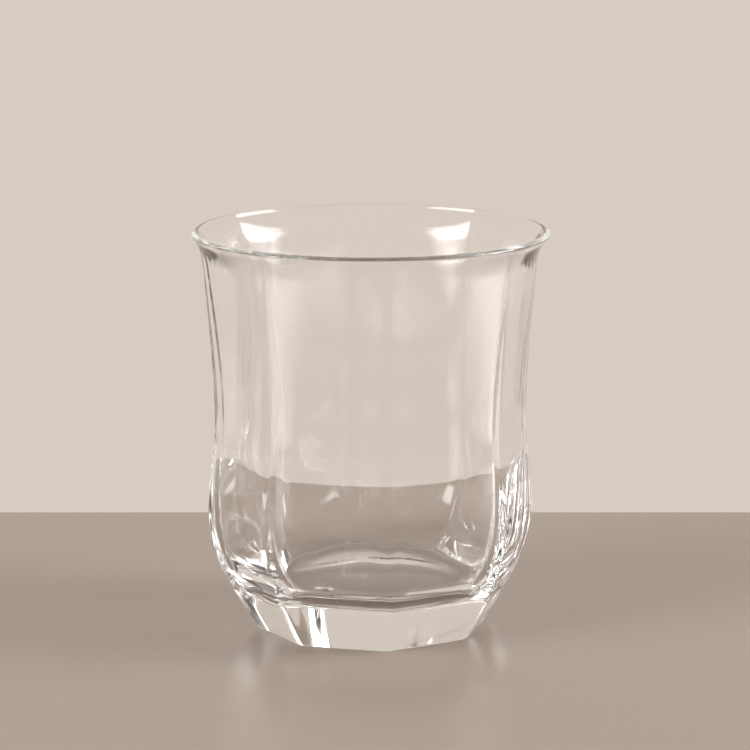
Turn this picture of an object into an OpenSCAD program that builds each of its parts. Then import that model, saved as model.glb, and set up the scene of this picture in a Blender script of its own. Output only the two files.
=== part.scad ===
// Pressed drinking glass: a waisted tumbler with eight flats outside and the same flats inside the well.
// It is one piece of glass with an even wall and a thick base.
// The flats run out into a round lip at the top and into a round heel at the bottom of the well.
// The frame is the centre of the foot's resting face, with +Z up and a flat facing +X.

/* [Overall] */
// Height from the table to the top of the lip
height = 95; // [85:1:105]
// Diameter of the round lip at its widest
lip_d = 84; // [82:0.5:88]
// Pairs of opposite flats round the outside
flat_pairs = 4; // [3:1:6]

/* [Flats] */
// Width across the flats where the foot meets the table
foot_w = 52.2; // [46:0.2:56]
// How far the sides lean outwards at the foot, in degrees from upright
foot_lean = 33; // [20:1:38]
// Radius of the edge round the foot
foot_edge = 1; // [0.4:0.1:2]
// Width across the flats at the fullest place
bulge_w = 73.1; // [71:0.1:75]
// Height of the fullest place
bulge_z = 28; // [22:1:32]
// Width across the flats at the waist
waist_w = 69.8; // [68:0.1:71]
// Height of the waist
waist_z = 50; // [45:1:56]
// Width across the flats at the neck, just under the lip
neck_w = 77.8; // [77:0.1:78.6]
// How far the flats lean outwards at the neck, in degrees from upright
neck_lean = 7.5; // [4:0.5:14]
// How far each upright edge is rounded back from a sharp corner
corner_round = 0.45; // [0.1:0.05:0.8]

/* [Lip] */
// Thickness of the rounded lip
lip_t = 1.8; // [1.4:0.1:2.4]
// Width of the flat land left on its crest
crest_w = 0.2; // [0.1:0.1:0.4]
// Diameter over the rounded corners at the neck
neck_d = 79.8; // [79.2:0.1:80.6]
// Depth of the neck below the top of the lip
neck_drop = 5.5; // [4.5:0.5:7]

/* [Well] */
// Thickness of glass under the middle of the well
base_t = 11.2; // [9:0.2:14]
// Diameter of the flat floor of the well
floor_d = 40; // [30:1:43]
// Radius of the rounded heel between the floor and the side of the well
heel_round = 11; // [6:0.5:12]
// How far the side of the well leans outwards above the heel, in degrees from upright
heel_lean = 28; // [24:1:38]
// Height at which the well is at its fullest
belly_z = 40; // [34:1:43]
// Thickness of the wall in the middle of a flat at that height
belly_wall_t = 2.1128; // [1.6:0.0001:3]
// How far each upright corner of the well is rounded
well_round = 0.4; // [0.2:0.1:0.8]
// Thickness of the wall in the middle of a flat at the waist
waist_wall_t = 2.2; // [1.6:0.1:3]
// Thickness of the wall at the neck
neck_wall_t = 1.9; // [1.6:0.1:2.4]

/* [Underside] */
// Diameter of the shallow hollow under the foot
hollow_d = 40; // [30:1:44]
// Depth of that hollow
hollow_h = 0.8; // [0.3:0.1:1.6]

/* [Hidden] */
glass_colour = [0.86, 0.89, 0.88, 0.45];
// Height of one step along a curved outline, and the fewest steps in a stretch of it
step_h = 2.8;
least_steps = 5;
// Steps along the heel of the well and along each small rounding
heel_steps = 10;
edge_steps = 3;
hollow_steps = 6;
// Steps round a circle
round_steps = 88;
flat_turn = 180 / flat_pairs;
// How far a sharp corner stands out, as a share of the distance to the flat
corner_share = 1 / cos(flat_turn / 2);
// How far the corners lean outwards at the neck, as a share of the slope of the flats
corner_lean_share = 0.7;
// Room between the heel and the flats where they run out into it
run_out = heel_round / 20;
well_lip_r = lip_d / 2 - lip_t;
edge_r = (lip_t - crest_w) / 2;
foot_rise = foot_edge * (1 - sin(foot_lean));
neck_z = height - neck_drop;
heel_top = base_t + heel_round * (1 - sin(heel_lean));
heel_r = floor_d / 2 + heel_round * cos(heel_lean);
// Slopes of the outlines, as sideways travel over height
foot_slope = tan(foot_lean);
neck_slope = tan(neck_lean);
corner_neck_slope = neck_slope * corner_lean_share;

// Stations of the flats, each with its height, its distance from the axis and its slope
flat_stations = [
    [foot_rise, foot_w / 2, foot_slope],
    [bulge_z, bulge_w / 2, 0],
    [waist_z, waist_w / 2, 0],
    [neck_z, neck_w / 2, neck_slope],
    [height - lip_t, lip_d / 2, 1]
];
// Stations of the rounded corners above the waist, where they part from the flats
corner_stations = [
    [waist_z, waist_w / 2 * corner_share - corner_round, 0],
    [neck_z, neck_d / 2, corner_neck_slope],
    [height - edge_r, lip_d / 2, 0]
];
// Distances of the flats of the well from the axis, at its fullest place and at its waist
belly_r = between(belly_z, flat_stations[1], flat_stations[2]) - belly_wall_t;
well_waist_r = waist_w / 2 - waist_wall_t;
// Stations of the flats in the well, which start just outside the round heel
well_flat_stations = [
    [heel_top, heel_r + run_out, tan(heel_lean)],
    [belly_z, belly_r, 0],
    [waist_z, well_waist_r, 0],
    [neck_z, neck_w / 2 - neck_wall_t, neck_slope],
    [height - lip_t, well_lip_r, 1]
];
// Stations of the rounded corners of the well, from its heel up to the lip
well_corner_stations = [
    [heel_top, heel_r, tan(heel_lean)],
    [belly_z, belly_r * corner_share - well_round, 0],
    [waist_z, well_waist_r * corner_share - well_round, 0],
    [neck_z, neck_d / 2 - neck_wall_t, corner_neck_slope],
    [height - edge_r, well_lip_r, 0]
];

// Distance from the axis at height z, on the cubic between two stations
function between(z, low, high) =
    let (span = high[0] - low[0], t = (z - low[0]) / span)
    low[1] * (1 - t) * (1 - t) * (1 + 2 * t)
    + high[1] * t * t * (3 - 2 * t)
    + span * t * (1 - t) * (low[2] * (1 - t) - high[2] * t);

// Points [distance, height] on the smooth curve through a list of stations, from the lowest up.
// A shift of 0 puts them on the stations and evenly between, and 0.5 halfway between those places.
function curve(stations, shift = 0) = [
    for (i = [0:len(stations) - 2])
        let (low = stations[i], high = stations[i + 1], span = high[0] - low[0])
        let (steps = max(least_steps, ceil(span / step_h)))
        for (k = [0:steps - 1])
            let (z = low[0] + span * (k + shift) / steps)
            [between(z, low, high), z]
];

// Points on an arc round a centre, from one angle to another
function arc(centre, radius, from, to, steps) = [
    for (k = [0:steps])
        let (angle = from + (to - from) * k / steps)
        centre + radius * [cos(angle), sin(angle)]
];

function turned_over(points) = [for (i = [len(points) - 1:-1:0]) points[i]];

// Side of the glass through the middle of a flat, from the table to above the lip
function flat_side() = concat(
    arc([foot_w / 2 - foot_edge * cos(foot_lean), foot_edge], foot_edge, -90, -foot_lean, edge_steps),
    [for (p = curve(flat_stations)) if (p[1] > foot_rise) p],
    [[lip_d / 2, height - lip_t], [lip_d / 2 + neck_drop, height - lip_t + neck_drop]]
);

// Side of the glass through a corner: it follows the flats up to the waist, then has its own course.
// Its rings lie halfway between those of the flats, so that no four faces meet in one point.
function corner_side() = concat(
    [[(foot_w / 2 - foot_edge * cos(foot_lean)) * corner_share - corner_round, 0]],
    [for (p = curve(flat_stations, 0.5)) if (p[1] < waist_z) [p[0] * corner_share - corner_round, p[1]]],
    curve(corner_stations, 0.5),
    [[lip_d / 2, height - edge_r]]
);

// Side of the well through the middle of a flat, from below its floor to above the lip
function well_flat_side() = concat(
    [[heel_r + run_out, base_t / 2]],
    curve(well_flat_stations),
    [[well_lip_r, height - lip_t], [well_lip_r + neck_drop, height - lip_t + neck_drop]]
);

// Side of the well through a corner, from the edge of the floor over the heel to above the lip
function well_corner_side() = concat(
    arc([floor_d / 2, base_t + heel_round], heel_round, -90, -heel_lean, heel_steps),
    curve(well_corner_stations, 0.5),
    arc([well_lip_r + edge_r, height - edge_r], -edge_r, 0, -90, edge_steps * 2),
    [[well_lip_r + edge_r + lip_t, height + lip_t]]
);

// Underside from the axis outwards: a shallow dished hollow with a small flat middle
function underside() =
    let (dish_r = (hollow_d * hollow_d / 4 + hollow_h * hollow_h) / (2 * hollow_h))
    let (half_angle = asin(hollow_d / 2 / dish_r))
    let (dish = arc([0, hollow_h - dish_r], dish_r, 90 - half_angle / hollow_steps, 90 - half_angle, hollow_steps))
    concat([[0, dish[0][1]]], dish);

// Section of the glass without its well, from the underside to the crest of the lip
function blank_section() = concat(
    underside(),
    corner_side(),
    [for (p = arc([lip_d / 2 - edge_r, height - edge_r], edge_r, 0, 90, edge_steps * 2))
        if (p[1] > height - edge_r + lip_t / 100) p],
    [[0, height]]
);

function well_section() = concat([[0, base_t]], well_corner_side(), [[0, height + lip_t]]);

// One pair of opposite flats: a side outline on both hands, pushed through the whole glass
module flat_pair(side) {
    other = [for (p = turned_over(side)) [-p[0], p[1]]];
    rotate([90, 0, 0])
        linear_extrude(height = 2 * lip_d, center = true)
            polygon(concat(side, other));
}

// A round form with its section turned about the axis, and pairs of flats cut on it
module flatted(section, side) {
    intersection() {
        rotate_extrude($fn = round_steps)
            polygon(section);
        intersection_for (i = [0:flat_pairs - 1])
            rotate([0, 0, i * flat_turn])
                flat_pair(side);
    }
}

module tumbler() {
    color(glass_colour)
        difference() {
            flatted(blank_section(), flat_side());
            flatted(well_section(), well_flat_side());
        }
}

tumbler();
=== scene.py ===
# %% [markdown]
# A pressed drinking glass, dressed on its CAD frame.
#
# The frame is the packed CAD part: one solid of glass, 95 mm tall, that stands on the world's
# origin. It already has the right size, so the scene only has to give it a smoother skin, a real
# glass finish, a table to stand on, a camera and soft light. This first cell loads that frame and
# measures the two corners of its box.

import math

import bpy
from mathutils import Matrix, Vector


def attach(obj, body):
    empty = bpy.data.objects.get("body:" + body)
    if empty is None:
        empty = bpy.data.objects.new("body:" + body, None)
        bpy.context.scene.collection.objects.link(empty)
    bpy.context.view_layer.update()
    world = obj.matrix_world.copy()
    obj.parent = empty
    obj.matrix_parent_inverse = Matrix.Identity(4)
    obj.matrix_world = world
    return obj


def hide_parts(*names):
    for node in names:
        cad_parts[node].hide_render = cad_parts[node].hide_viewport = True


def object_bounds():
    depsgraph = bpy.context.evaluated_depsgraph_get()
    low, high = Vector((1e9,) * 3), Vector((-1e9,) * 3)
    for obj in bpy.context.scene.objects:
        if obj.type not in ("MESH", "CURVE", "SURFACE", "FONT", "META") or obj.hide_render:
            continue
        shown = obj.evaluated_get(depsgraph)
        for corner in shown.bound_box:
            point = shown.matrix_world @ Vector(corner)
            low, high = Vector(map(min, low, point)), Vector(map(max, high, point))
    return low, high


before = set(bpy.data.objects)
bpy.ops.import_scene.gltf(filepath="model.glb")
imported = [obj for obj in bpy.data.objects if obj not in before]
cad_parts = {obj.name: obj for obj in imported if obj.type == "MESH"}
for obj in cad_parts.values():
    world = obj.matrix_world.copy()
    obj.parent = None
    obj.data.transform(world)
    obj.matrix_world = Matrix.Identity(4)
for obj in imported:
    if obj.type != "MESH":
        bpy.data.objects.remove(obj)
cad_low, cad_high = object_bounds()
MM = 0.001
print("CAD nodes:", len(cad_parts))
print("CAD box in mm:", [round(v / MM, 2) for v in (*cad_low, *cad_high)])

# %% [markdown]
# The outside of the glass in a few numbers.
#
# A pressed tumbler takes its outside from an iron mould. A mould maker writes down how wide it is
# across its flats and over its corners at a few heights. A height with its distance from the axis
# and its slope is called a station here. The sides could also be a long list of points, but a
# smooth curve needs only a few stations, and they are easier to correct. Height and lip come from
# the frame itself. The lip is written a touch too wide, since the smoothing at the end draws every
# tight curve in a little.

# %% Stations outside
HEIGHT = cad_high.z - cad_low.z
SMOOTHED_AWAY = 0.2 * MM
LIP_R = (cad_high.x - cad_low.x) / 2 + SMOOTHED_AWAY
LIP_T = 1.8 * MM + SMOOTHED_AWAY
LIP_AXIS_Z = HEIGHT - LIP_T / 2

FOOT_RISE = 0.46 * MM
BULGE_Z, WAIST_Z, NECK_Z = 28 * MM, 50 * MM, HEIGHT - 5.5 * MM
FLARE_Z = HEIGHT - 2.6 * MM

FLAT_STATIONS = [
    (FOOT_RISE, 26.1 * MM, 0.649),
    (BULGE_Z, 36.55 * MM, 0.0),
    (WAIST_Z, 34.9 * MM, 0.0),
    (NECK_Z, 38.9 * MM, 0.13),
    (FLARE_Z, 40.6 * MM, 0.75),
    (LIP_AXIS_Z, LIP_R, 0.0),
]
CORNER_STATIONS = [
    (FOOT_RISE, 27.95 * MM, 0.66),
    (BULGE_Z, 39.1 * MM, 0.0),
    (WAIST_Z, 37.3 * MM, 0.0),
    (NECK_Z, 39.9 * MM, 0.09),
    (FLARE_Z, 40.9 * MM, 0.7),
    (LIP_AXIS_Z, LIP_R, 0.0),
]
print("Widths across the flats in mm:", [round(2 * r / MM, 1) for _, r, _ in FLAT_STATIONS])

# %% [markdown]
# The well in the same way.
#
# The plunger that pressed the well had the same flats as the mould, so the wall is an even 2 mm
# from the belly up to the lip. Its nose left a flat floor and a rounded heel on a thick base. The
# wall could also be made by giving one skin a thickness. But the well narrows to its floor high
# above the foot, so it gets stations of its own. They start where the heel ends.

# %% Stations of the well
BASE_T = 11.2 * MM
FLOOR_R = 20 * MM
HEEL_ROUND, HEEL_LEAN = 11 * MM, math.radians(28)
HEEL_R = FLOOR_R + HEEL_ROUND * math.cos(HEEL_LEAN)
HEEL_TOP = BASE_T + HEEL_ROUND * (1 - math.sin(HEEL_LEAN))
CORNER_SHARE = 1.07
BELLY_Z = 40 * MM

WELL_FLATS = [
    (HEEL_TOP, HEEL_R, math.tan(HEEL_LEAN)),
    (BELLY_Z, 33.5 * MM, 0.0),
    (WAIST_Z, 32.7 * MM, 0.0),
    (NECK_Z, 37.0 * MM, 0.13),
    (FLARE_Z, 38.75 * MM, 0.75),
    (LIP_AXIS_Z, LIP_R - LIP_T, 0.0),
]
WELL_CORNERS = [
    (HEEL_TOP, HEEL_R * CORNER_SHARE, math.tan(HEEL_LEAN)),
    (BELLY_Z, 35.4 * MM, 0.0),
    (WAIST_Z, 34.5 * MM, 0.0),
    (NECK_Z, 37.85 * MM, 0.09),
    (FLARE_Z, 39.0 * MM, 0.7),
    (LIP_AXIS_Z, LIP_R - LIP_T, 0.0),
]
print("Wall at the waist:", round((FLAT_STATIONS[2][1] - WELL_FLATS[2][1]) / MM, 2), "mm")

# %% [markdown]
# Curves through the stations.
#
# The real sides sweep from foot to lip without a kink. A curve object could draw that sweep, but
# the rings below need a number: how far from the axis the side is at a given height. A cubic
# between two stations takes up both of their slopes, so the sweep stays smooth across them.

# %% Curves through the stations
RING_STEP = 2.6 * MM


def along(stations, z):
    """Distance from the axis at height z, on the cubic between the two stations beside it."""
    for (z0, r0, s0), (z1, r1, s1) in zip(stations, stations[1:]):
        if z <= z1:
            break
    span = z1 - z0
    t = (z - z0) / span
    ends = r0 * (1 - t) ** 2 * (1 + 2 * t) + r1 * t * t * (3 - 2 * t)
    return ends + span * t * (1 - t) * (s0 * (1 - t) - s1 * t)


def heights(stations, step):
    """Heights for the rings: every station, and even steps of about this size between them."""
    found = [stations[0][0]]
    for (z0, _, _), (z1, _, _) in zip(stations, stations[1:]):
        count = max(1, round((z1 - z0) / step))
        found += [z0 + (z1 - z0) * k / count for k in range(1, count + 1)]
    return found


outer_heights = heights(FLAT_STATIONS, RING_STEP)
inner_heights = heights(WELL_FLATS, RING_STEP)
print("Rings outside:", len(outer_heights), "and inside:", len(inner_heights))

# %% [markdown]
# Measuring a ring.
#
# The skin of the real glass is one closed surface that runs up the outside, over the lip and down
# the well. It could be cut from a turned blank, as the CAD part is, but a cut leaves long thin
# faces that show as streaks in clear glass. Here the skin is drawn ring by ring as two tubes of
# even quads, one outside and one inside, that are bridged at the lip. Two helpers come first. One
# lets go of all objects, because the loaded CAD nodes are still selected. The other measures the
# ring that is being shaped.

# %% Helpers for rings
SIDES = 8
SIDE_CUTS = 5


def deselect_all():
    """Lets go of every object."""
    bpy.ops.object.select_all(action="DESELECT")


def ring_radii(obj):
    """Smallest, largest and mean distance from the axis of the selected points."""
    obj.update_from_editmode()
    found = [math.hypot(v.co.x, v.co.y) for v in obj.data.vertices if v.select]
    return min(found), max(found), sum(found) / len(found)


print("Points in a ring:", SIDES * (SIDE_CUTS + 2))

# %% [markdown]
# Starting a tube of glass: one eight-sided ring.
#
# Eight flats meet in eight upright edges, which the fire that polished the glass left soft. The
# tube could start as a plain octagon and have its edges bevelled at the end, but then the bevel
# would also run round the lip. So an eight-sided circle has its vertices bevelled first, into
# short soft corners. Then its long sides are subdivided, so that every later ring has points where
# it needs them.

# %% First ring of a tube
CORNER_W = 1.2 * MM
LONG_SIDE = 0.25


def first_ring(name, z, flat, corner_w):
    """An eight-sided ring with soft corners, left selected in edit mode."""
    deselect_all()
    bpy.ops.mesh.primitive_circle_add(
        vertices=SIDES,
        radius=flat / math.cos(math.pi / SIDES),
        fill_type="NOTHING",
        location=(0, 0, z),
    )
    tube = bpy.context.object
    tube.name = tube.data.name = name
    bpy.ops.object.transform_apply(location=True, rotation=True, scale=True)
    bpy.ops.object.mode_set(mode="EDIT")
    bpy.ops.mesh.select_mode(type="VERT")
    bpy.ops.mesh.select_all(action="SELECT")
    half_side = math.pi / SIDES
    bpy.ops.transform.rotate(value=half_side, orient_axis="Z", center_override=(0, 0, z))
    bpy.ops.mesh.bevel(offset_type="WIDTH", offset=corner_w, affect="VERTICES", segments=1)
    bpy.ops.mesh.select_mode(type="EDGE")
    bpy.ops.mesh.select_all(action="DESELECT")
    bpy.ops.object.mode_set(mode="OBJECT")
    for edge in tube.data.edges:
        a, b = (tube.data.vertices[i].co for i in edge.vertices)
        edge.select = (a - b).length > LONG_SIDE * flat
    bpy.ops.object.mode_set(mode="EDIT")
    bpy.ops.mesh.subdivide(number_cuts=SIDE_CUTS)
    bpy.ops.mesh.select_all(action="SELECT")
    return tube


tumbler = first_ring("tumbler_glass", FOOT_RISE, FLAT_STATIONS[0][1], CORNER_W)
print("Foot ring, radii in mm:", [round(r / MM, 2) for r in ring_radii(tumbler)])

# %% [markdown]
# Drawing a side upwards.
#
# The flats of the real glass run out into its round lip. Lofting an octagon into a circle would
# twist or bunch the quads, so the ring itself changes by degrees. Each step extrudes the last
# ring, lifts it, rounds it a little with To Sphere and scales it. To Sphere moves every point
# towards the mean distance from a centre. With the centre on the axis at the ring's own height, it
# turns an octagon into a circle. How much a ring is rounded follows from two distances, to the
# flats and to the corners.

# %% Outer side
def next_ring(obj, z_from, z, flat, corner):
    """Extrudes the selected ring, then rounds and scales it to these two distances."""
    bpy.ops.mesh.extrude_region_move(TRANSFORM_OT_translate={"value": (0, 0, z - z_from)})
    low, high, mean = ring_radii(obj)
    spare = flat * high - corner * low
    if spare > 0:
        rounding = spare / (spare + mean * (corner - flat))
        bpy.ops.transform.tosphere(value=min(rounding, 1), center_override=(0, 0, z))
    low, high, mean = ring_radii(obj)
    scale = (flat + corner) / (low + high)
    bpy.ops.transform.resize(value=(scale, scale, 1), center_override=(0, 0, z))
    return z


z = FOOT_RISE
for target in outer_heights[1:]:
    flat, corner = along(FLAT_STATIONS, target), along(CORNER_STATIONS, target)
    z = next_ring(tumbler, z, target, flat, corner)
print("Under the lip, radii in mm:", [round(r / MM, 2) for r in ring_radii(tumbler)])

# %% [markdown]
# The outer half of the lip.
#
# The lip was melted round by a flame, so its section is half a circle, about as thick as the wall.
# A bevel on a square lip would come close, but rings on a half circle also give even quads. The
# outer tube takes them up to the crest. The inner tube will come up to meet it.

# %% Lip, outer half
LIP_STEPS = 6


def lip_ring(obj, z_from, step):
    """A round ring on the lip's half circle, counted from its outer side."""
    turn = math.pi * step / LIP_STEPS
    radius = LIP_R - LIP_T / 2 * (1 - math.cos(turn))
    return next_ring(obj, z_from, LIP_AXIS_Z + LIP_T / 2 * math.sin(turn), radius, radius)


for step in range(1, LIP_STEPS // 2 + 1):
    z = lip_ring(tumbler, z, step)
print("Crest of the lip at", round(z / MM, 2), "mm")

# %% [markdown]
# Picking up a ring again.
#
# A tube is open at its lower end, and work goes on there next. The open edge could be found by
# looking for edges with one face, but both ends of the tube have those. Its height tells them
# apart, so the ring is selected by that. A second helper closes an end in one point on the axis.

# %% Helpers for the ends
SAME_HEIGHT = 0.01 * MM


def select_ring(obj, z):
    """Selects the points at one height, and nothing else."""
    bpy.ops.mesh.select_mode(type="VERT")
    bpy.ops.mesh.select_all(action="DESELECT")
    bpy.ops.object.mode_set(mode="OBJECT")
    for vertex in obj.data.vertices:
        vertex.select = abs(vertex.co.z - z) < SAME_HEIGHT
    bpy.ops.object.mode_set(mode="EDIT")


def close_end(rise):
    """Ends the selected ring in one point on the axis."""
    bpy.ops.mesh.extrude_region_move(TRANSFORM_OT_translate={"value": (0, 0, rise)})
    bpy.ops.mesh.merge(type="CENTER")


select_ring(tumbler, FOOT_RISE)
print("Foot ring again, radii in mm:", [round(r / MM, 2) for r in ring_radii(tumbler)])

# %% [markdown]
# The foot's edge and the hollow under it.
#
# The glass stands on a narrow flat band, with a shallow hollow inside it, so that it doesn't rock.
# The hollow could be cut out with a boolean, but rings that run on from the side keep the skin in
# one piece of quads. They make a small rounding, the flat band and then the dish, which ends in
# one point. The band grows round on its way inwards, from the eight-sided edge to the hollow.

# %% Underside
HOLLOW_R, HOLLOW_H = 20 * MM, 0.8 * MM
BAND_R, BAND_CORNERS = 25.2 * MM, 0.6 * MM
HOLLOW_RIM_R = HOLLOW_R + 1.2 * MM
DISH_STEPS = 6
FOOT_RINGS = [
    (0.12 * MM, 25.85 * MM, 27.65 * MM),
    (0, 25.5 * MM, 27.2 * MM),
    (0, BAND_R - BAND_CORNERS, BAND_R + BAND_CORNERS),
    (0, HOLLOW_RIM_R, HOLLOW_RIM_R),
    (0, HOLLOW_R, HOLLOW_R),
]

z = FOOT_RISE
for target, flat, corner in FOOT_RINGS:
    z = next_ring(tumbler, z, target, flat, corner)
for k in range(1, DISH_STEPS):
    share = 1 - k / DISH_STEPS
    radius = HOLLOW_R * share
    z = next_ring(tumbler, z, HOLLOW_H * (1 - share * share), radius, radius)
close_end(HOLLOW_H - z)
bpy.ops.object.mode_set(mode="OBJECT")
print("Outer tube:", len(tumbler.data.polygons), "faces")

# %% [markdown]
# The wall of the well.
#
# Inside, the glass has the same eight flats, with corners that the plunger left much softer. It is
# drawn in the same way as the outside, from the heel up to the lip. A copy of the outer tube,
# scaled down, would be quicker, but its wall would be uneven and its base wrong.

# %% Inner side
WELL_CORNER_W = 3 * MM

well = first_ring("well", HEEL_TOP, HEEL_R, WELL_CORNER_W)
z = HEEL_TOP
for target in inner_heights[1:]:
    z = next_ring(well, z, target, along(WELL_FLATS, target), along(WELL_CORNERS, target))
for step in range(LIP_STEPS - 1, LIP_STEPS // 2, -1):
    z = lip_ring(well, z, step)
print("Well meets the lip at", round(z / MM, 2), "mm")

# %% [markdown]
# The heel and the floor.
#
# The wall turns into the floor over a wide round heel, which bends the view behind the glass into
# a bright ring. A bevel could round that edge afterwards, but the heel is wide and starts on a
# leaning wall, so it is drawn as an arc of rings. They carry the well's corners down to the floor,
# where they fade out, and the floor ends in one point. The glass under it stays thick.

# %% Heel and floor
HEEL_STEPS = 4
FLOOR_SHARES = (0.85, 0.6, 0.35, 0.15)

select_ring(well, HEEL_TOP)
z = HEEL_TOP
for k in range(1, HEEL_STEPS + 1):
    turn = -HEEL_LEAN - (math.pi / 2 - HEEL_LEAN) * k / HEEL_STEPS
    radius = FLOOR_R + HEEL_ROUND * math.cos(turn)
    target = BASE_T + HEEL_ROUND * (1 + math.sin(turn))
    z = next_ring(well, z, target, radius, radius * CORNER_SHARE)
for share in FLOOR_SHARES:
    z = next_ring(well, z, BASE_T, FLOOR_R * share, FLOOR_R * share)
close_end(0)
bpy.ops.object.mode_set(mode="OBJECT")
print("Floor of the well at", round(z / MM, 2), "mm")

# %% [markdown]
# One skin from two tubes.
#
# A real glass has no seam at its lip. Two skins that only touch there would look the same from
# outside, but the glass would have no inside for light to bend in. So the tubes are joined into
# one mesh. Each still has one open ring at the lip, and Bridge Edge Loops closes the gap with a
# last ring of quads. The normals are then turned outwards all over.

# %% Bridge the lip
deselect_all()
well.select_set(True)
tumbler.select_set(True)
bpy.context.view_layer.objects.active = tumbler
bpy.ops.object.join()
bpy.ops.object.mode_set(mode="EDIT")
bpy.ops.mesh.select_mode(type="EDGE")
bpy.ops.mesh.select_all(action="DESELECT")
bpy.ops.mesh.select_non_manifold()
bpy.ops.mesh.bridge_edge_loops()
bpy.ops.mesh.select_all(action="SELECT")
bpy.ops.mesh.normals_make_consistent(inside=False)
bpy.ops.mesh.select_mode(type="VERT")
bpy.ops.mesh.select_all(action="DESELECT")
bpy.ops.mesh.select_non_manifold()
bpy.ops.object.mode_set(mode="OBJECT")
cage = tumbler.data
print("Cage:", len(cage.polygons), "faces; open points:", sum(v.select for v in cage.vertices))

# %% [markdown]
# Smoothing the cage.
#
# Clear glass is unkind to facets, because each one bends the view behind it. Smooth shading alone
# would hide them on an opaque thing, but light that passes through still follows the real faces.
# So a Subdivision Surface turns the cage into a skin with even highlights, at two levels. The soft
# corners got short edges of their own in the first ring, and these hold the creases between the
# flats. The finished skin replaces the CAD node and rides on its body.

# %% Subdivision
SKIN_LEVELS = 2

smooth = tumbler.modifiers.new("skin", "SUBSURF")
smooth.levels = smooth.render_levels = SKIN_LEVELS
bpy.ops.object.modifier_apply(modifier=smooth.name)
bpy.ops.object.shade_smooth()
skin = tumbler.data
top = max(v.co.z for v in skin.vertices)
print("Skin:", len(skin.polygons), "faces; top at", round(top / MM, 2), "mm")

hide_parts("tumbler")
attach(tumbler, "root")

# %% [markdown]
# A short way to write shader maths.
#
# A material is a graph of nodes, and each sum in it takes a node. They could be added and linked
# one by one, but then a short sum fills a page. The class Value wraps a node's output, so that a
# sum can be written as a plain expression such as 1 - mask, and adds the nodes by itself.

# %% Values
class Value:
    """An output socket that can be added, subtracted and multiplied."""

    def __init__(self, shader, socket):
        self.shader, self.socket = shader, socket

    def _maths(self, operation, a, b):
        return self.shader.node("ShaderNodeMath", {"operation": operation}, {0: a, 1: b})

    def __add__(self, other):
        return self._maths("ADD", self, other)

    def __mul__(self, other):
        return self._maths("MULTIPLY", self, other)

    def __sub__(self, other):
        return self._maths("SUBTRACT", self, other)

    def __rsub__(self, other):
        return self._maths("SUBTRACT", other, self)

    __radd__, __rmul__ = __add__, __mul__


print("Value has the methods", [name for name, part in vars(Value).items() if callable(part)])

# %% [markdown]
# Any other node.
#
# One method adds a node of any type. Its settings are set first, since they can change which
# sockets the node has. Then its sockets get numbers, colours or links, found by name or by place.
# A list of nodes with a list of links would do as well, but here each node stands beside what
# feeds it.

# %% Shaders
class Shader:
    """The node tree of a material, a lamp or the world."""

    def __init__(self, owner):
        owner.use_nodes = True
        self.tree = owner.node_tree
        self.tree.nodes.clear()

    def node(self, kind, settings=None, inputs=None, output=0):
        made = self.tree.nodes.new(kind)
        for key, value in (settings or {}).items():
            setattr(made, key, value)
        for key, value in (inputs or {}).items():
            if isinstance(value, Value):
                self.tree.links.new(value.socket, made.inputs[key])
            else:
                made.inputs[key].default_value = value
        return Value(self, made.outputs[output]) if made.outputs else None


def srgb(red, green, blue):
    """A colour as it is read off a screen, from 0 to 255, in the renderer's linear values."""
    shares = (red / 255, green / 255, blue / 255)
    return tuple(s / 12.92 if s <= 0.04045 else ((s + 0.055) / 1.055) ** 2.4 for s in shares) + (1,)


print("A mid grey of 128 is", round(srgb(128, 128, 128)[0], 3), "in linear values")

# %% [markdown]
# Pressed glass.
#
# Soda-lime glass bends light by 1.52 and has a faint grey-green body colour, which shows only
# where the glass is thick. A tinted surface would darken thin and thick glass alike, so the colour
# is in the body, by Volume Absorption. A pressed surface isn't as true as a blown one: it has slow
# waves where the cold mould chilled it, stretched upwards, and a finer skin over them. Both are
# bumps on Object coordinates, since waves this shallow need no geometry. Clean glass is never
# quite clean either, so the roughness has a trace of wiping marks, and the band that the glass
# stands on is scuffed.

# %% Glass measures
GLASS_TINT = (0.995, 0.995, 0.995, 1)
BODY_TINT, BODY_DENSITY = (0.70, 0.80, 0.80, 1), 2.0
IOR = 1.52
UPRIGHT = (1, 1, 0.45)
WAVES = {"Scale": 70, "Detail": 1.0}
FINE_SKIN = {"Scale": 420, "Detail": 2.0}
WIPING = {"Scale": 26, "Detail": 5.0, "Distortion": 0.6}
SCRATCHES = {"Scale": 900, "Detail": 4.0}
WAVE_SHARE, FINE_SHARE = 0.85, 0.06
BUMP_STRENGTH, BUMP_DEPTH = 0.5, 0.12 * MM
WIPED_FROM, WIPED_TO = 0.5, 0.75
SCUFFED_BELOW, CLEAN_ABOVE = 0.05 * MM, 0.35 * MM
CLEAN_ROUGH, WIPED_ROUGH, SCUFFED_ROUGH = 0.008, 0.02, 0.25
print("Waves about", round(1 / WAVES["Scale"] / MM), "mm wide")

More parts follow.
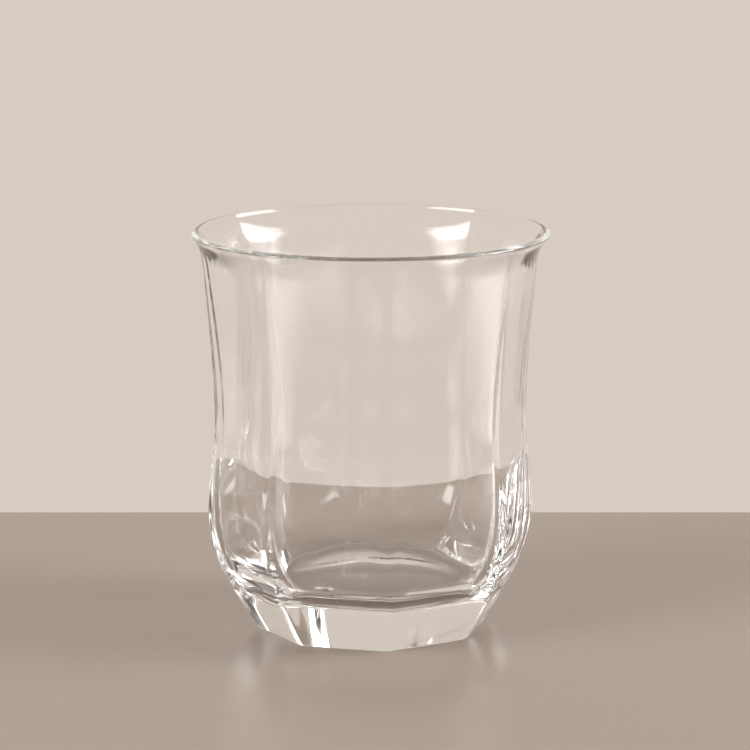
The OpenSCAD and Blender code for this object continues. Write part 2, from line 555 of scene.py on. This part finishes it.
# %% Glass material
def pressed_glass():
    material = bpy.data.materials.new("pressed_glass")
    sh = Shader(material)
    place = sh.node("ShaderNodeTexCoord", output="Object")
    upright = sh.node("ShaderNodeMapping", inputs={"Vector": place, "Scale": UPRIGHT})
    waves = sh.node("ShaderNodeTexNoise", inputs={"Vector": upright, **WAVES})
    fine = sh.node("ShaderNodeTexNoise", inputs={"Vector": place, **FINE_SKIN})
    height = waves * WAVE_SHARE + fine * FINE_SHARE
    bump = sh.node(
        "ShaderNodeBump",
        inputs={"Strength": BUMP_STRENGTH, "Distance": BUMP_DEPTH, "Height": height},
    )

    wiped = sh.node("ShaderNodeTexNoise", inputs={"Vector": upright, **WIPING})
    marks = sh.node(
        "ShaderNodeMapRange",
        inputs={"Value": wiped, "From Min": WIPED_FROM, "From Max": WIPED_TO},
    )
    above_table = sh.node("ShaderNodeSeparateXYZ", inputs={"Vector": place}, output="Z")
    stood_on = sh.node(
        "ShaderNodeMapRange",
        inputs={
            "Value": above_table,
            "From Min": SCUFFED_BELOW,
            "From Max": CLEAN_ABOVE,
            "To Min": 1.0,
            "To Max": 0.0,
        },
    )
    scratches = sh.node("ShaderNodeTexNoise", inputs={"Vector": place, **SCRATCHES})
    rough = CLEAN_ROUGH + marks * WIPED_ROUGH + stood_on * scratches * SCUFFED_ROUGH

    glass = sh.node(
        "ShaderNodeBsdfPrincipled",
        inputs={
            "Base Color": GLASS_TINT,
            "Roughness": rough,
            "IOR": IOR,
            "Transmission Weight": 1.0,
            "Normal": bump,
        },
    )
    body = sh.node(
        "ShaderNodeVolumeAbsorption", inputs={"Color": BODY_TINT, "Density": BODY_DENSITY}
    )
    sh.node("ShaderNodeOutputMaterial", inputs={"Surface": glass, "Volume": body})
    return material


tumbler.data.materials.clear()
tumbler.data.materials.append(pressed_glass())
print("Glass of index", IOR, "on", tumbler.name)

# %% [markdown]
# The camera.
#
# The photograph was taken from a little above the rim with a long lens, so the sides look nearly
# parallel and the lip is a flat ellipse. A near camera with a short lens could frame the glass as
# well, but it would swell the lip. The camera stands at the angle, height and distance that put
# the lip, the foot and the flats where the photograph has them.

# %% Camera
AZIMUTH, PITCH = math.radians(14.9), math.radians(11.235)
CAMERA_AWAY, CAMERA_UP, CAMERA_ASIDE = 784 * MM, 215.9 * MM, 0.93 * MM
LENS, SENSOR_W = 162.2, 36
NEAREST_SEEN = 10 * MM
toward_camera = Vector((math.sin(AZIMUTH), -math.cos(AZIMUTH), 0))
to_the_right = Vector((math.cos(AZIMUTH), math.sin(AZIMUTH), 0))

camera_data = bpy.data.cameras.new("camera")
camera_data.lens = LENS
camera_data.sensor_width = SENSOR_W
camera_data.clip_start = NEAREST_SEEN
camera = bpy.data.objects.new("camera", camera_data)
bpy.context.scene.collection.objects.link(camera)
camera.location = (
    toward_camera * CAMERA_AWAY + to_the_right * CAMERA_ASIDE + Vector((0, 0, CAMERA_UP))
)
camera.rotation_euler = (math.pi / 2 - PITCH, 0, AZIMUTH)
bpy.context.scene.camera = camera
print("Camera at", [round(v, 3) for v in camera.location])

# %% [markdown]
# The table.
#
# Glass has hardly any look of its own: what shows is what lies behind and under it, bent. A floor
# that runs on for ever would leave the wall of the glass nearly invisible. So the pale table top
# ends a hand's width behind the glass, which puts its far edge across the lower third of the
# picture, and it is polished enough to mirror the lamps softly.

# %% Table
TABLE_COLOUR = srgb(170, 154, 142)
TABLE_BEHIND, TABLE_REACH = 111 * MM, 3.0
TABLE_GRAIN = {"Scale": 30, "Detail": 6.0}
TABLE_ROUGH, GRAIN_ROUGH = 0.2, 0.08


def table_finish():
    material = bpy.data.materials.new("table_top")
    sh = Shader(material)
    place = sh.node("ShaderNodeTexCoord", output="Object")
    grain = sh.node("ShaderNodeTexNoise", inputs={"Vector": place, **TABLE_GRAIN})
    rough = TABLE_ROUGH + grain * GRAIN_ROUGH
    surface = sh.node(
        "ShaderNodeBsdfPrincipled", inputs={"Base Color": TABLE_COLOUR, "Roughness": rough}
    )
    sh.node("ShaderNodeOutputMaterial", inputs={"Surface": surface})
    return material


deselect_all()
bpy.ops.mesh.primitive_plane_add(size=1, location=(0, 0, 0))
table = bpy.context.object
table.name = "table_top"
table.scale = (2 * TABLE_REACH, TABLE_REACH + TABLE_BEHIND, 1)
table.rotation_euler = (0, 0, AZIMUTH)
table.location = toward_camera * (TABLE_REACH - TABLE_BEHIND) / 2
bpy.ops.object.transform_apply(location=True, rotation=True, scale=True)
table.data.materials.append(table_finish())
print("Table ends", round(TABLE_BEHIND / MM), "mm behind the glass")

# %% [markdown]
# The room.
#
# The glass stands in front of a plain pale wall. A real backdrop would catch shadows and need
# light of its own, so the world plays its part. It shows the wall's colour to the camera and to
# reflections and refractions, and lights the scene at a plain level.

# %% World
WALL_COLOUR = srgb(216, 204, 194)
ROOM_COLOUR = srgb(150, 145, 140)
SEEN_BY = ("Is Camera Ray", "Is Glossy Ray", "Is Transmission Ray")

world = bpy.data.worlds.new("room")
bpy.context.scene.world = world
sh = Shader(world)
by_camera, by_gloss, by_glass = (sh.node("ShaderNodeLightPath", output=ray) for ray in SEEN_BY)
seen = by_camera + by_gloss + by_glass
wall = sh.node("ShaderNodeBackground", inputs={"Color": WALL_COLOUR, "Strength": 1.0})
room = sh.node("ShaderNodeBackground", inputs={"Color": ROOM_COLOUR, "Strength": 1.0})
blend = sh.node("ShaderNodeMixShader", inputs={0: seen, 1: room, 2: wall})
sh.node("ShaderNodeOutputWorld", inputs={"Surface": blend})
print("The wall is shown to", len(SEEN_BY), "kinds of ray")

# %% [markdown]
# Soft light.
#
# Two soft boxes stand above the table, one to the left and in front of the glass, one straight to
# its right. Each one shows in the flats as a pale upright band, mostly by way of the table's
# polish. Point lamps would show as hard dots instead. A real soft box is brightest in its middle,
# and glass shows every hard edge, so each lamp fades towards its own edges. Geometry's Parametric
# output runs from 0 to 1 across a lamp and gives the fade.

# %% Lights
FADE_SHARE = 0.3
BOX_UP, BOX_TALL, BOX_POWER = 0.33, 0.56, 19


def fade(sh, across):
    """1 in the middle of the lamp and 0 at its edges, over a share of its width."""
    off_middle = sh.node("ShaderNodeMath", {"operation": "ABSOLUTE"}, {0: across - 0.5})
    return sh.node(
        "ShaderNodeMapRange",
        {"interpolation_type": "SMOOTHSTEP"},
        {"Value": 0.5 - off_middle, "From Max": FADE_SHARE},
    )


def soft_box(name, azimuth, away, width):
    """A rectangular lamp with soft edges that looks at the middle of the glass."""
    data = bpy.data.lights.new(name, "AREA")
    data.shape = "RECTANGLE"
    data.size, data.size_y, data.energy = width, BOX_TALL, BOX_POWER
    sh = Shader(data)
    where = sh.node("ShaderNodeNewGeometry", output="Parametric")
    across = sh.node("ShaderNodeSeparateXYZ", inputs={"Vector": where}, output="X")
    upwards = sh.node("ShaderNodeSeparateXYZ", inputs={"Vector": where}, output="Y")
    glow = fade(sh, across) * fade(sh, upwards)
    emission = sh.node("ShaderNodeEmission", inputs={"Color": glow, "Strength": 1.0})
    sh.node("ShaderNodeOutputLight", inputs={"Surface": emission})
    lamp = bpy.data.objects.new(name, data)
    bpy.context.scene.collection.objects.link(lamp)
    turn = AZIMUTH + math.radians(azimuth)
    lamp.location = Vector((math.sin(turn) * away, -math.cos(turn) * away, BOX_UP))
    aim = Vector((0, 0, HEIGHT / 2)) - lamp.location
    lamp.rotation_euler = aim.to_track_quat("-Z", "Y").to_euler()
    return lamp


left_box = soft_box("left_box", azimuth=-58, away=0.95, width=0.75)
right_box = soft_box("right_box", azimuth=86, away=0.92, width=0.7)
for lamp in (left_box, right_box):
    print(lamp.name, "at", [round(v, 2) for v in lamp.location])

# %% [markdown]
# Longer light paths.
#
# A ray that meets the wall of a glass edge on is turned back inside it many times before it gets
# out. Cycles gives up after four such turns and returns black, which a real glass never does. A
# brighter world wouldn't mend that, so the rays are allowed more turns here.

# %% Light paths
MOST_BOUNCES, MOST_IN_GLASS = 32, 24

paths = bpy.context.scene.cycles
paths.max_bounces = MOST_BOUNCES
paths.glossy_bounces = MOST_IN_GLASS
paths.transmission_bounces = MOST_IN_GLASS
print("Bounces:", paths.max_bounces, paths.glossy_bounces, paths.transmission_bounces)

# %% [markdown]
# Finishing.
#
# The view transform is set to Standard, so that a colour renders about as it is written. A filmic
# one would grey the pale wall.

# %% Finish
bpy.context.scene.view_settings.view_transform = "Standard"
